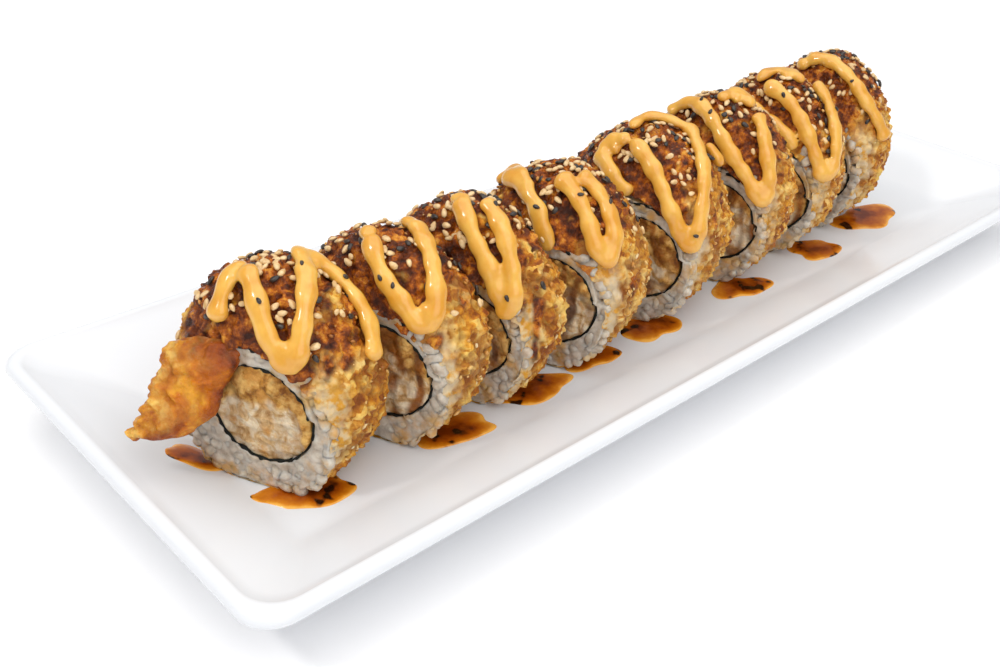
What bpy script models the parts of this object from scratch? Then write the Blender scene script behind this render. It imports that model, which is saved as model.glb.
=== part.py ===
"""A fried sushi roll, cut in eight slices that stand fanned in a row on a long rectangular plate.

Each slice is a craggy fried crust over rice, with a sheet of nori coiled in it and a tempura shrimp
in the middle. The nearest slice keeps the shrimp's tail. Thick drizzle and sesame seeds lie on top.
X runs along the row, Z is up, and the origin is the middle of the plate's underside.
"""

import math
import random

import bmesh
import bpy
from mathutils import Matrix, Vector, noise

MM = 0.001

# Plate
PLATE_HALF_LENGTH = 180 * MM
PLATE_HALF_WIDTH = 65.6 * MM
PLATE_HEIGHT = 22 * MM
FLOOR_DEPTH = 11.7 * MM
SLOPE_WIDTH = 29.2 * MM
LIP_THICKNESS = 4.6 * MM
LIP_CORNER = 9 * MM
FLOOR_CORNER = 2.5 * MM
CORNER_POINTS = 5
FOOT_INSET = 36 * MM

# Slices
GAP = 0.3 * MM
SLICE_FLOOR = PLATE_HEIGHT - FLOOR_DEPTH + GAP
SHOULDER_POWER = 1.8
FOOT_POWER = 2.1
WAIST_SHARE = 0.46
FLAT_BOTTOM = 2 * MM
EDGE_POWER = 3
FACE_SIDE_INSET = 5 * MM
FACE_TOP_DROP = 12 * MM
CRUST_JITTER = 0.7 * MM
CRUST_WAVE = 1.0 * MM
CRUST_WAVELENGTH = 9 * MM
GRAIN_RELIEF = 0.5 * MM
AROUND = 26
STATIONS = (-1.0, -0.8, -0.42, 0.0, 0.42, 0.8, 1.0)
NEAR_CUT_RINGS = (0.84, 0.68, 0.3)
FAR_CUT_RINGS = (0.8,)

# Filling and nori, measured in a slice's own section
FILLING_HEIGHT = 22 * MM
FILLING_SHIFT = (-2.5, -5, -4, -5, -5, -6, -6, -4)
FILLING_RADIUS = 11.9 * MM
FILLING_RELIEF = 0.5 * MM
FILLING_INSET = 0.6 * MM
FILLING_AROUND = 14
NORI_RADIUS = 13.0 * MM
NORI_THICKNESS = 0.8 * MM
NORI_START = math.radians(172)
NORI_RING_TURN = math.radians(352)
NORI_TAIL_TURN = math.radians(122)
NORI_RISE = 1.2 * MM
NORI_TAIL_RISE = 4.0 * MM
NORI_STEPS = 22
NORI_INSET = 0.4 * MM

# Toppings
DRIZZLE_RADIUS = 2.1 * MM
DRIZZLE_SINK = 0.5 * MM
DRIZZLE_STEP = 4.6 * MM
SEED_SIZE = (3.2 * MM, 2.0 * MM, 1.3 * MM)
SEEDS_PER_SLICE = 6
SEED_SPREAD = math.radians(38)

# Shrimp tail in the nearest slice's own axes (out of the near cut, to the left, up): its root is a peg in
# the rice, and its fan runs down through sections given by their left end, right end and half thickness
TAIL_ROOT = (13.6, 30.5)
TAIL_ROOT_REACH = (-4.5, 5.0)
TAIL_ROOT_HALF_SIZE = (2.6, 2.3)
TAIL_SECTIONS = (
    ((4.4, 19.8, 36.0), (3.8, 2.6, 37.0), 2.4),
    ((5.6, 20.6, 31.3), (4.2, 4.0, 32.3), 2.8),
    ((8.0, 21.1, 27.9), (4.8, 6.2, 27.6), 3.2),
    ((10.0, 20.9, 25.0), (5.4, 6.8, 23.8), 3.2),
    ((13.0, 21.3, 22.2), (7.0, 9.0, 20.1), 2.8),
    ((15.0, 23.2, 20.1), (9.5, 13.7, 17.0), 2.3),
    ((16.0, 23.9, 19.7), (13.0, 19.9, 16.6), 1.6),
    ((16.5, 23.9, 19.2), (15.5, 22.7, 16.2), 0.8),
)
TAIL_AROUND = 12
TAIL_RELIEF = 0.12

# Slices from the nearest: centre x, centre y, turn towards the front in degrees, thickness, width, height
SLICES = (
    (-136.0, -8.0, 26, 27, 52, 55.5),
    (-104.0, -9.5, 24, 25, 54, 54.5),
    (-76.5, -10.0, 22, 22, 54, 56),
    (-42.0, -9.5, 22, 31, 54, 56),
    (-1.0, -7.0, 22, 34, 54, 58),
    (36.0, -6.0, 20, 28, 54, 59),
    (68.0, -5.0, 18, 27, 53, 60),
    (102.5, -3.5, 14, 30, 51, 60),
)

# Drizzle strands on each slice, as points chosen by hand: degrees from the crest towards the front,
# and the share of the half thickness, where less than -1 hangs over the near cut
DRIZZLE = (
    (
        ((-16, -0.38), (-21, -0.93)),
        ((-10, -0.38), (15, -0.9), (35, -1.05), (38, -0.95), (32, -0.6), (18, 0.1), (8, 0.45), (16, 0.52),
         (33, 0.55), (55, 0.35), (70, -0.02)),
    ),
    (
        ((-5, -0.43), (11, -0.78), (29, -0.9), (45, -0.93), (47, -0.72), (36, -0.4), (24, 0.02), (11, 0.45)),
    ),
    (
        ((-4, -0.38), (13, -0.75), (31, -0.93), (54, -1.12), (53, -0.96), (38, -0.68), (23, -0.4), (10, -0.15)),
    ),
    (
        ((-34, -0.32), (-14, -0.73), (3, -0.98), (12, -1.3)),
        ((4, -0.45), (25, -0.65), (44, -0.85), (55, -0.83), (53, -0.65), (39, -0.42), (24, -0.27), (14, -0.27)),
    ),
    (
        ((-30, -0.68), (-17, -0.95), (-1, -1.2)),
        ((-7, -0.62), (15, -0.83), (37, -1.0), (62, -1.1), (69, -0.95), (55, -0.68), (36, -0.07), (20, 0.45)),
        ((34, 0.5), (50, 0.5)),
    ),
    (
        ((-38, -0.43), (-23, -0.4), (-3, -0.73), (19, -0.95), (42, -1.02), (62, -1.0), (62, -0.85), (43, -0.62),
         (26, -0.25)),
    ),
    (
        ((-29, -0.73), (-7, -0.95), (20, -1.05), (38, -1.12)),
        ((-8, -0.62), (17, -0.73), (41, -0.85), (69, -0.88), (72, -0.65), (53, -0.27), (36, 0.1), (24, 0.23)),
    ),
    (
        ((-18, -0.48), (-2, -0.48), (23, -0.57), (45, -0.6), (73, -0.4)),
    ),
)

# Materials: colour, roughness
GLAZE = ((0.86, 0.87, 0.88), 0.18)
CRUST = ((0.62, 0.33, 0.11), 0.75)
NORI = ((0.012, 0.014, 0.011), 0.5)
SHRIMP = ((0.74, 0.58, 0.38), 0.5)
TAIL = ((0.72, 0.30, 0.06), 0.45)


def signed_power(value, power):
    return math.copysign(abs(value) ** power, value)


class Slice:
    """One slice: its sizes, its surface and its place on the plate."""

    def __init__(self, index, sizes):
        x, y, turn, thickness, width, height = sizes
        self.name = f"slice_{index + 1}"
        self.index = index
        self.half_thickness = thickness * MM / 2
        self.half_width = width * MM / 2
        self.height = height * MM
        self.filling = FILLING_SHIFT[index] * MM
        self.centre = Vector((x * MM, y * MM, SLICE_FLOOR))
        turn = math.radians(turn)
        self.along = Vector((math.cos(turn), math.sin(turn), 0))
        self.side = Vector((-math.sin(turn), math.cos(turn), 0))

    def world(self, depth, across, up):
        """A point from its distance along the roll, to the left and up."""
        return self.centre + self.along * depth + self.side * across + Vector((0, 0, up))

    def outline(self, angle, share):
        """Left and up on the crust, at an angle from the crest towards the front."""
        edge = abs(share) ** EDGE_POWER
        half_width = self.half_width - FACE_SIDE_INSET * edge
        top = self.height - FACE_TOP_DROP * edge
        waist = WAIST_SHARE * top
        roundness = 2 / (SHOULDER_POWER if math.cos(angle) > 0 else FOOT_POWER)
        across = -half_width * signed_power(math.sin(angle), roundness)
        rise = signed_power(math.cos(angle), roundness)
        reach = top - waist if rise > 0 else waist + FLAT_BOTTOM
        return across, max(waist + reach * rise, 0)

    def surface(self, angle, share):
        """A point on the crust, or over the near cut where the share is less than -1."""
        across, up = self.outline(angle, max(share, -1))
        inward = max(-1 - share, 0)
        across -= (across - self.filling) * inward
        up -= (up - FILLING_HEIGHT) * inward
        return self.world(max(share, -1) * self.half_thickness, across, up)

    def normal(self, angle, share):
        """The crust's outward direction, from three points close together."""
        step = 0.02
        share = min(max(share, -0.97), 0.97)
        round_way = self.surface(angle + step, share) - self.surface(angle - step, share)
        length_way = self.surface(angle, share + step) - self.surface(angle, share - step)
        return round_way.cross(length_way).normalized()


def clear_scene():
    for obj in list(bpy.data.objects):
        bpy.data.objects.remove(obj, do_unlink=True)


def new_collection(name):
    collection = bpy.data.collections.new(name)
    bpy.context.scene.collection.children.link(collection)
    return collection


def new_material(name, finish):
    colour, roughness = finish
    material = bpy.data.materials.new(name)
    material.use_nodes = True
    shader = material.node_tree.nodes["Principled BSDF"]
    shader.inputs["Base Color"].default_value = (*colour, 1)
    shader.inputs["Roughness"].default_value = roughness
    shader.inputs["Metallic"].default_value = 0
    return material


def new_object(name, form, collection, material=None):
    """An object from a bmesh, smooth except at real edges."""
    bmesh.ops.recalc_face_normals(form, faces=form.faces)
    mesh = bpy.data.meshes.new(name)
    form.to_mesh(mesh)
    form.free()
    mesh.shade_smooth()
    mesh.set_sharp_from_angle(angle=math.radians(50))
    if material:
        mesh.materials.append(material)
    obj = bpy.data.objects.new(name, mesh)
    collection.objects.link(obj)
    return obj


def loft(rings, first_centre=None, last_centre=None):
    """Closed rings of equal length joined by quads, with a flat or a fanned cap at each end."""
    form = bmesh.new()
    rows = [[form.verts.new(point) for point in ring] for ring in rings]
    count = len(rows[0])
    for row, after in zip(rows, rows[1:]):
        for step in range(count):
            across = (step + 1) % count
            form.faces.new((row[step], row[across], after[across], after[step]))
    for row, centre in ((rows[0], first_centre), (rows[-1], last_centre)):
        if centre is None:
            form.faces.new(row)
            continue
        middle = form.verts.new(centre)
        for step in range(count):
            form.faces.new((row[step], row[(step + 1) % count], middle))
    return form


def rounded_rectangle(half_x, half_y, radius, height):
    """Points of a rectangle with arcs at its corners."""
    points = []
    for quarter in range(4):
        sign_x = 1 if quarter in (0, 3) else -1
        sign_y = 1 if quarter in (0, 1) else -1
        for step in range(CORNER_POINTS):
            angle = math.pi / 2 * (quarter + step / (CORNER_POINTS - 1))
            x = sign_x * (half_x - radius) + radius * math.cos(angle)
            y = sign_y * (half_y - radius) + radius * math.sin(angle)
            points.append((x, y, height))
    return points


def add_plate(parts):
    """The plate: foot, sloping underside, rounded lip, four sloping sides and a flat floor."""
    floor = PLATE_HEIGHT - FLOOR_DEPTH
    half_lip = LIP_THICKNESS / 2
    lip_middle = PLATE_HEIGHT - half_lip
    # Each step: how far in from the rim, the height, and the corner's radius
    steps = [
        (FOOT_INSET, 0, LIP_CORNER),
        (FOOT_INSET - 1.5 * MM, 1.5 * MM, LIP_CORNER),
        (4 * MM, lip_middle - 1.4 * half_lip, LIP_CORNER),
    ]
    for degrees in (-60, -20, 20, 60, 100, 140):
        turn = math.radians(degrees)
        inset = half_lip * (1 - math.cos(turn))
        steps.append((inset, lip_middle + half_lip * math.sin(turn), LIP_CORNER))
    steps.append((SLOPE_WIDTH - 1 * MM, floor + 0.4 * MM, FLOOR_CORNER))
    steps.append((SLOPE_WIDTH + 1 * MM, floor, FLOOR_CORNER))
    rings = [
        rounded_rectangle(PLATE_HALF_LENGTH - inset, PLATE_HALF_WIDTH - inset, corner, height)
        for inset, height, corner in steps
    ]
    new_object("plate", loft(rings), parts, new_material("plate_glaze", GLAZE))


def crust_form(piece, draw):
    """The slice's outside: a fanned loft with crags round it and bumps of grain size on both cuts."""
    rings = []
    for share in STATIONS:
        rings.append([crust_point(piece, step, share, draw) for step in range(AROUND)])
    near = [cut_ring(piece, -1, scale, draw) for scale in reversed(NEAR_CUT_RINGS)]
    far = [cut_ring(piece, 1, scale, draw) for scale in FAR_CUT_RINGS]
    ends = [piece.world(sign * piece.half_thickness, piece.filling, FILLING_HEIGHT) for sign in (-1, 1)]
    return loft(near + rings + far, ends[0], ends[1])


def crust_point(piece, step, share, draw):
    angle = 2 * math.pi * step / AROUND
    point = piece.surface(angle, share)
    wave = noise.noise(point / CRUST_WAVELENGTH + Vector((piece.index * 7, 0, 0)))
    lift = CRUST_WAVE * wave + CRUST_JITTER * draw.uniform(-1, 1)
    on_plate = point.z - SLICE_FLOOR < 1.5 * MM
    if on_plate or abs(share) == 1:
        return point
    return point + piece.normal(angle, share) * lift


def cut_ring(piece, sign, scale, draw):
    """A ring on a cut face, drawn in towards the filling, its points pushed in and out like grains."""
    ring = []
    for step in range(AROUND):
        across, up = piece.outline(2 * math.pi * step / AROUND, sign)
        push = GRAIN_RELIEF * draw.uniform(-1, 1)
        depth = sign * (piece.half_thickness + push)
        rise = FILLING_HEIGHT + (up - FILLING_HEIGHT) * scale
        ring.append(piece.world(depth, piece.filling + (across - piece.filling) * scale, rise))
    return ring


def nori_path(steps):
    """The nori's middle line in the section: once round the filling, then out into the rice."""
    points = []
    whole = NORI_RING_TURN + NORI_TAIL_TURN
    for step in range(steps + 1):
        turn = whole * step / steps
        ring = min(turn / NORI_RING_TURN, 1)
        tail = max(turn - NORI_RING_TURN, 0) / NORI_TAIL_TURN
        radius = NORI_RADIUS + NORI_RISE * ring ** 4 + NORI_TAIL_RISE * math.sin(tail ** 2 * math.pi / 2)
        angle = NORI_START - turn
        points.append((radius * math.cos(angle), FILLING_HEIGHT + radius * math.sin(angle)))
    return points


def sheet(name, piece, thickness, half_length, collection, material=None):
    """A sheet along the nori's line, closed by Solidify."""
    form = bmesh.new()
    rows = []
    for across, up in nori_path(NORI_STEPS):
        left = piece.filling + across
        rows.append([form.verts.new(piece.world(sign * half_length, left, up)) for sign in (-1, 1)])
    for row, after in zip(rows, rows[1:]):
        form.faces.new((row[0], row[1], after[1], after[0]))
    obj = new_object(name, form, collection, material)
    solidify = obj.modifiers.new("thickness", "SOLIDIFY")
    solidify.thickness = thickness
    solidify.offset = 0
    solidify.use_even_offset = True
    return obj


def filling_form(piece, radius, half_length, relief, around, draw):
    """A lumpy bar along the slice's axis."""
    rings = []
    for share in (-1, -0.4, 0.4, 1):
        ring = []
        for step in range(around):
            angle = 2 * math.pi * step / around
            reach = radius + relief * draw.uniform(-1, 0)
            up = FILLING_HEIGHT + reach * math.sin(angle)
            left = piece.filling + reach * math.cos(angle)
            ring.append(piece.world(share * half_length, left, up))
        rings.append(ring)
    middles = [sign * (half_length - relief) for sign in (-1, 1)]
    ends = [piece.world(depth, piece.filling, FILLING_HEIGHT) for depth in middles]
    return loft(rings, ends[0], ends[1])


def tail_root(piece, margin):
    """The peg that holds the shrimp's tail in the rice."""
    half_wide, half_tall = (size * MM + margin for size in TAIL_ROOT_HALF_SIZE)
    rings = []
    for out in TAIL_ROOT_REACH:
        ring = []
        for step in range(TAIL_AROUND):
            angle = 2 * math.pi * step / TAIL_AROUND
            left = TAIL_ROOT[0] * MM + half_wide * math.cos(angle)
            up = TAIL_ROOT[1] * MM + half_tall * math.sin(angle)
            ring.append(piece.world(-piece.half_thickness - out * MM, left, up))
        rings.append(ring)
    ends = [sum(ring, Vector()) / TAIL_AROUND for ring in rings]
    return loft(rings, ends[0], ends[1])


def tail_fan(piece, draw):
    """The free part of the shrimp's tail, a flattened loft with a ragged outline that ends in a point."""
    rings = []
    middles = []
    for left_end, right_end, half_depth in TAIL_SECTIONS:
        ends = [piece.world(-piece.half_thickness - out * MM, left * MM, up * MM)
                for out, left, up in (left_end, right_end)]
        middle = (ends[0] + ends[1]) / 2
        ring = []
        for step in range(TAIL_AROUND):
            angle = 2 * math.pi * step / TAIL_AROUND
            swell = 1 + TAIL_RELIEF * draw.uniform(-1, 1)
            wide = (ends[0] - middle) * swell * math.cos(angle)
            deep = piece.along * half_depth * MM * swell * math.sin(angle)
            ring.append(middle + wide + deep)
        rings.append(ring)
        middles.append(middle)
    return loft(rings, middles[0], middles[-1])


def strand_points(piece, controls):
    """Even points on a smooth curve through a strand's control points, laid on the crust."""
    points = []
    last = len(controls) - 1
    for index in range(last):
        before = Vector(controls[max(index - 1, 0)])
        start = Vector(controls[index])
        end = Vector(controls[index + 1])
        after = Vector(controls[min(index + 2, last)])
        gap = piece.surface(math.radians(end.x), end.y) - piece.surface(math.radians(start.x), start.y)
        count = max(1, round(gap.length / DRIZZLE_STEP))
        for step in range(count + (index == last - 1)):
            at = step / count
            bend = (2 * before - 5 * start + 4 * end - after) * at + (3 * start - 3 * end + after - before) * at * at
            spot = start + ((end - before) + bend) * at / 2
            points.append(strand_point(piece, math.radians(spot.x), spot.y))
    return points


def strand_point(piece, angle, share):
    lift = DRIZZLE_RADIUS - DRIZZLE_SINK
    return piece.surface(angle, share) + piece.normal(angle, share) * lift


def add_strand(piece, number, controls, fused):
    """A strand of thick drizzle, as a bevelled curve made into a closed mesh."""
    points = strand_points(piece, controls)
    curve = bpy.data.curves.new("strand", "CURVE")
    curve.dimensions = "3D"
    curve.bevel_depth = DRIZZLE_RADIUS
    curve.bevel_resolution = 1
    curve.use_fill_caps = True
    spline = curve.splines.new("POLY")
    spline.points.add(len(points) - 1)
    for index, point in enumerate(points):
        spline.points[index].co = (*point, 1)
        at_end = index in (0, len(points) - 1)
        spline.points[index].radius = 0.75 if at_end else 1.0
    guide = bpy.data.objects.new("strand", curve)
    fused.objects.link(guide)
    bpy.context.view_layer.update()
    solid = bpy.data.meshes.new_from_object(guide.evaluated_get(bpy.context.evaluated_depsgraph_get()))
    bpy.data.objects.remove(guide, do_unlink=True)
    form = bmesh.new()
    form.from_mesh(solid)
    bpy.data.meshes.remove(solid)
    bmesh.ops.remove_doubles(form, verts=form.verts, dist=0.01 * MM)
    new_object(f"{piece.name}_strand_{number}", form, fused)


def add_seed(piece, number, angle, share, spin, fused):
    """A sesame seed lying on the crust, half its thickness sunk in."""
    form = bmesh.new()
    bmesh.ops.create_uvsphere(form, u_segments=6, v_segments=3, radius=0.5)
    up = piece.normal(angle, share)
    ahead = (Matrix.Rotation(spin, 3, up) @ piece.along).cross(up).normalized()
    place = Matrix((ahead, up.cross(ahead), up)).transposed() @ Matrix.Diagonal(SEED_SIZE)
    middle = piece.surface(angle, share) + up * 0.55 * MM
    bmesh.ops.transform(form, matrix=Matrix.Translation(middle) @ place.to_4x4(), verts=form.verts)
    new_object(f"{piece.name}_seed_{number}", form, fused)


def apply_boolean(obj, operation, collection):
    """One Boolean with a whole collection, applied; the collection and its objects are then removed."""
    boolean = obj.modifiers.new("boolean", "BOOLEAN")
    boolean.operation = operation
    boolean.operand_type = "COLLECTION"
    boolean.collection = collection
    boolean.solver = "EXACT"
    boolean.use_self = operation == "UNION"
    bpy.context.view_layer.update()
    joined = bpy.data.meshes.new_from_object(obj.evaluated_get(bpy.context.evaluated_depsgraph_get()))
    obj.modifiers.clear()
    old = obj.data
    obj.data = joined
    bpy.data.meshes.remove(old)
    for helper in list(collection.objects):
        bpy.data.objects.remove(helper, do_unlink=True)
    bpy.data.collections.remove(collection)


def drop_loose_bits(obj):
    """Keeps the largest connected body of a mesh."""
    form = bmesh.new()
    form.from_mesh(obj.data)
    form.verts.ensure_lookup_table()
    unseen = set(form.verts)
    groups = []
    while unseen:
        group = set()
        front = [unseen.pop()]
        while front:
            vert = front.pop()
            group.add(vert)
            linked = [edge.other_vert(vert) for edge in vert.link_edges]
            fresh = [other for other in linked if other in unseen]
            unseen.difference_update(fresh)
            front.extend(fresh)
        groups.append(group)
    largest = max(groups, key=len)
    bmesh.ops.delete(form, geom=[vert for vert in form.verts if vert not in largest], context="VERTS")
    form.to_mesh(obj.data)
    form.free()


def add_slice(piece, parts):
    """Rice and crust with its toppings fused on, the nori coiled in it, and the shrimp."""
    draw = random.Random(40 + piece.index)
    rice = new_object(f"{piece.name}_rice", crust_form(piece, draw), parts)
    rice.data.materials.append(new_material(f"{piece.name}_crust", CRUST))

    fused = new_collection("fused")
    for number, controls in enumerate(DRIZZLE[piece.index]):
        add_strand(piece, number, controls, fused)
    for number in range(SEEDS_PER_SLICE):
        share = -0.7 + 1.4 * (number + draw.uniform(0.2, 0.8)) / SEEDS_PER_SLICE
        angle = draw.uniform(-1, 1) * SEED_SPREAD
        add_seed(piece, number, angle, share, draw.uniform(0, math.pi), fused)
    apply_boolean(rice, "UNION", fused)

    cutters = new_collection("cutters")
    beyond = piece.half_thickness + 1.2 * MM
    sheet("nori_cutter", piece, NORI_THICKNESS + 2 * GAP, beyond, cutters)
    core = filling_form(piece, NORI_RADIUS, beyond, 0, FILLING_AROUND * 2, draw)
    new_object("filling_cutter", core, cutters)
    if piece.index == 0:
        new_object("tail_cutter", tail_root(piece, GAP), cutters)
    for cutter in cutters.objects:
        cutter.hide_render = True
        cutter.display_type = "WIRE"
    apply_boolean(rice, "DIFFERENCE", cutters)
    drop_loose_bits(rice)

    nori = new_material(f"{piece.name}_nori", NORI)
    sheet(f"{piece.name}_nori", piece, NORI_THICKNESS, piece.half_thickness - NORI_INSET, parts, nori)

    half_length = piece.half_thickness - FILLING_INSET
    shrimp = filling_form(piece, FILLING_RADIUS, half_length, FILLING_RELIEF, FILLING_AROUND, draw)
    new_object(f"{piece.name}_shrimp", shrimp, parts, new_material(f"{piece.name}_shrimp", SHRIMP))


def add_tail(piece, parts):
    """The shrimp's tail, out of the nearest slice's cut."""
    form = tail_fan(piece, random.Random(11))
    tail = new_object("shrimp_tail", form, parts, new_material("shrimp_tail", TAIL))
    root = new_collection("root")
    new_object("tail_root", tail_root(piece, 0), root)
    apply_boolean(tail, "UNION", root)


def main():
    clear_scene()
    parts = new_collection("fried_sushi_roll")
    add_plate(parts)
    pieces = [Slice(index, sizes) for index, sizes in enumerate(SLICES)]
    for piece in pieces:
        add_slice(piece, parts)
    add_tail(pieces[0], parts)


main()
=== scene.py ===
"""The looks of a fried sushi roll on its plate: glaze, fried crust, rice, nori, shrimp and toppings."""

import math
import random

import bmesh
import bpy
import numpy as np
from mathutils import Matrix, Vector, noise

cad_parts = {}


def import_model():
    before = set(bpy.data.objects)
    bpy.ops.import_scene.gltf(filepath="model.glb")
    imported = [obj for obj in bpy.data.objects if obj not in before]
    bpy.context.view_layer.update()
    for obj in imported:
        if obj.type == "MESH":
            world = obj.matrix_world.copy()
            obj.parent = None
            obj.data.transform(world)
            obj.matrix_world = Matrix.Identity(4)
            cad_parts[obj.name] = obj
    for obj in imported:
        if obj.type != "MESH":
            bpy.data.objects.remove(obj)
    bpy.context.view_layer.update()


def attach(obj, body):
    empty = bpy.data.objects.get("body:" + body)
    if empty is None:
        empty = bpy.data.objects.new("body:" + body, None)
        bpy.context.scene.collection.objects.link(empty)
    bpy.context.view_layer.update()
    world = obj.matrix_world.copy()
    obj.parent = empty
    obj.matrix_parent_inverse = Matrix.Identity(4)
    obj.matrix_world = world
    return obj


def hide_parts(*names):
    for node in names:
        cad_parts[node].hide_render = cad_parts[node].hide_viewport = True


MM = 0.001
BODY = "root"

# Nothing stands higher than this, just under the frame's own top
CAD_TOP = 72.4 * MM

# Plate, in the frame's own size
PLATE_HALF_LENGTH = 179.85 * MM
PLATE_HALF_WIDTH = 65.45 * MM
PLATE_HEIGHT = 22 * MM
FLOOR_DEPTH = 11.7 * MM
SLOPE_WIDTH = 29.2 * MM
SLOPE_STEPS = 8
CREASE_WIDTH = 3 * MM
CREASE_RISE = 1.2 * MM
LIP_THICKNESS = 4.6 * MM
LIP_CORNER = 9 * MM
FLOOR_CORNER = 3 * MM
CORNER_POINTS = 9
SIDE_POINTS = 20
FOOT_INSET = 36 * MM
PLATE_FLOOR = PLATE_HEIGHT - FLOOR_DEPTH

# Slices, in the frame's own size
GAP = 0.3 * MM
SLICE_FLOOR = PLATE_FLOOR + GAP
SHOULDER_POWER = 1.8
FOOT_POWER = 2.1
WAIST_SHARE = 0.46
FLAT_BOTTOM = 2 * MM
EDGE_POWER = 3
FACE_SIDE_INSET = 5 * MM
FACE_TOP_DROP = 12 * MM

# Filling and nori, measured in a slice's own section
FILLING_HEIGHT = 22 * MM
FILLING_SHIFT = (-2.5, -5, -4, -5, -5, -6, -6, -4)
FILLING_RADIUS = 12.85 * MM
NORI_RADIUS = 13.0 * MM
NORI_THICKNESS = 0.8 * MM
NORI_START = math.radians(172)
NORI_RING_TURN = math.radians(352)
NORI_TAIL_TURN = math.radians(122)
NORI_RISE = 1.2 * MM
NORI_TAIL_RISE = 4.0 * MM

# The nori's side (inner or outer) and share of the half thickness, once round its section
NORI_LOOP = ((-1, -1), (-1, -0.6), (-1, 0.6), (-1, 1), (1, 1), (1, 0.6), (1, -0.6), (1, -1))

# How finely the pieces are made: points round, then rows
CRUST_GRID = (300, 72)
FILLING_GRID = (110, 40)
RICE_GRID = (150, 22)
TAIL_GRID = (96, 110)
NORI_POINTS = 150
PUDDLE_POINTS = 96

# Rows of a grid that get a cap
OPEN_ENDS = ()
FIRST_END = (0,)
BOTH_ENDS = (0, -1)

# Flakes, grains and seeds
FLAKES_PER_SLICE = 230
GRAINS_PER_CUT = 120
GRAIN_TRIES = 3000
GRAIN_SPACING = 2.35 * MM
SEED_TRIES = 210
SEED_SPACING = 1.25 * MM
SEED_CLUMP = 7 * MM
SEED_HALF_SIZE = (1.4, 0.82, 0.55)
ANY_TURN = 6.28

# Drizzle: a strand's size, and the pools at its turns as share of the way in, half length and half width
DRIZZLE_RADIUS = 2.1 * MM
STRAND_AROUND = 14
STRAND_STEP = 0.6 * MM
STRAND_WIDTH = 1.08
STRAND_HEIGHT = 0.76
LOOP_SLIMNESS = 0.8
SEED_EVERY = 45
TURN_REACH = 8
TURN_POOLS = ((-0.05, 2.6, 2.9), (0.30, 3.4, 3.5), (0.75, 3.1, 2.4), (1.15, 2.4, 1.4))
POOL_HALF_HEIGHT = 1.8
DRIZZLE_VOXEL = 0.52 * MM
SMOOTHING_ROUNDS = 8

# Puddles, from the middle out: share of the radius, rise in mm, how deep the sauce looks
PUDDLE_PROFILE = (
    (0.02, 0.62, 1.0), (0.35, 0.62, 0.9), (0.65, 0.58, 0.7), (0.84, 0.46, 0.45), (0.94, 0.30, 0.22),
    (0.985, 0.12, 0.05), (1.0, 0.0, 0.0),
)

# The shrimp's tail in the nearest slice's own axes (out of the near cut, to the left, up): sections from
# the root to the tip, given by their left end, right end and half thickness
TAIL_SECTIONS = (
    (0.5, 17.5, 37.5, -2, 2, 39, 1.6),
    (3, 19.8, 36, 0.8, 1.3, 37.3, 2.6),
    (5, 20.6, 31.3, 1.4, 3.5, 32.3, 3.2),
    (8, 21.1, 27.9, 2.6, 5.9, 27.6, 3.5),
    (10, 20.9, 25, 4, 6.2, 23.8, 3.4),
    (13, 21.3, 22.2, 6.5, 8.8, 20.1, 2.9),
    (15, 23.2, 20.1, 9.5, 13.7, 17, 2.4),
    (16, 23.9, 19.7, 13, 19.9, 16.6, 1.8),
    (16.5, 23.9, 19.2, 15.5, 22.7, 17.1, 0.9),
)

# Slices from the nearest: centre x, centre y, turn towards the front in degrees, thickness, width, height
SLICES = (
    (-136, -8, 26, 27, 52, 55.5),
    (-104, -9.5, 24, 25, 54, 54.5),
    (-76.5, -10, 22, 22, 54, 56),
    (-42, -9.5, 22, 31, 54, 56),
    (-1, -7, 22, 34, 54, 58),
    (36, -6, 20, 28, 54, 59),
    (68, -5, 18, 27, 53, 60),
    (102.5, -3.5, 14, 30, 51, 60),
)

# Drizzle strands on each slice, as listed points: degrees from the crest towards the front,
# and the share of the half thickness, where less than -1 hangs over the near cut
DRIZZLE = (
    (((-16, -0.38), (-21, -0.93)),
     ((-10, -0.38), (15, -0.9), (35, -1.05), (38, -0.95), (32, -0.6), (18, 0.1), (8, 0.45), (16, 0.52),
      (33, 0.55), (55, 0.35), (70, -0.02))),
    (((-5, -0.43), (11, -0.78), (29, -0.9), (45, -0.93), (47, -0.72), (36, -0.4), (24, 0.02), (11, 0.45)),),
    (((-4, -0.38), (13, -0.75), (31, -0.93), (54, -1.12), (53, -0.96), (38, -0.68), (23, -0.4),
      (10, -0.15)),),
    (((-34, -0.32), (-14, -0.73), (3, -0.98), (12, -1.3)),
     ((4, -0.45), (25, -0.65), (44, -0.85), (55, -0.83), (53, -0.65), (39, -0.42), (24, -0.27),
      (14, -0.27))),
    (((-30, -0.68), (-17, -0.95), (-1, -1.2)),
     ((-7, -0.62), (15, -0.83), (37, -1), (62, -1.1), (69, -0.95), (55, -0.68), (36, -0.07), (20, 0.45)),
     ((34, 0.5), (50, 0.5))),
    (((-38, -0.43), (-23, -0.4), (-3, -0.73), (19, -0.95), (42, -1.02), (62, -1), (62, -0.85),
      (43, -0.62), (26, -0.25)),),
    (((-29, -0.73), (-7, -0.95), (20, -1.05), (38, -1.12)),
     ((-8, -0.62), (17, -0.73), (41, -0.85), (69, -0.88), (72, -0.65), (53, -0.27), (36, 0.1), (24, 0.23))),
    (((-18, -0.48), (-2, -0.48), (23, -0.57), (45, -0.6), (73, -0.4)),),
)

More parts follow.
